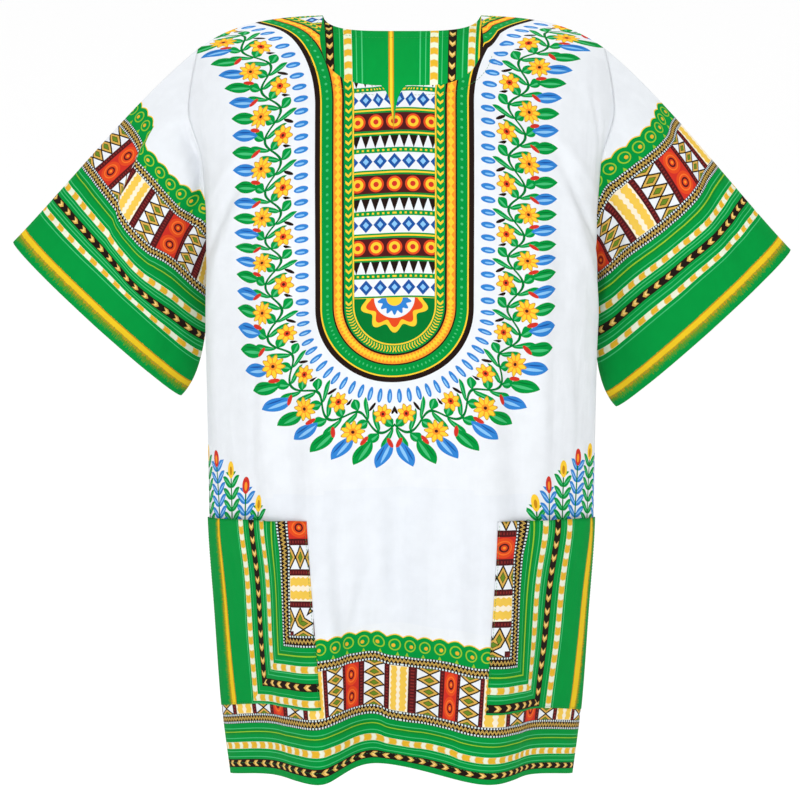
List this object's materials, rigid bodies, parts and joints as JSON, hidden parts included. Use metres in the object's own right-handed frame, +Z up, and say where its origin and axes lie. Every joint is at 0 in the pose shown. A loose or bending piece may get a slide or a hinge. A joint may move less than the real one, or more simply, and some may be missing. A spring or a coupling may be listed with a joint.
{
  "type": "dashiki tunic shirt",
  "caption": "Loose printed cotton tunic shirt with a slit round neck, short wide sleeves and patch pockets, filled out as if worn.",
  "frame": {"origin": "midway between the neck points, where the cloth rests on the wearer's shoulders", "axes": "+Z up, the front faces -Y, +X is the wearer's left"},
  "size_m": [0.8102, 0.3008, 0.8182],
  "materials": {
    "front_print": "white plain-weave cotton, printed with a bib, a garland and a wide green hem border",
    "back_print": "white plain-weave cotton, printed with a striped centre band and a wide green hem border",
    "sleeve_print": "green and white plain-weave cotton, printed with border bands round the cuff",
    "pocket_print": "green plain-weave cotton, printed with a mitred corner of the border"
  },
  "bodies": {
    "root": {"front": "front_print", "back": "back_print", "sleeve_right": "sleeve_print", "sleeve_left": "sleeve_print", "pocket_right": "pocket_print", "pocket_left": "pocket_print"}
  },
  "joints": []
}
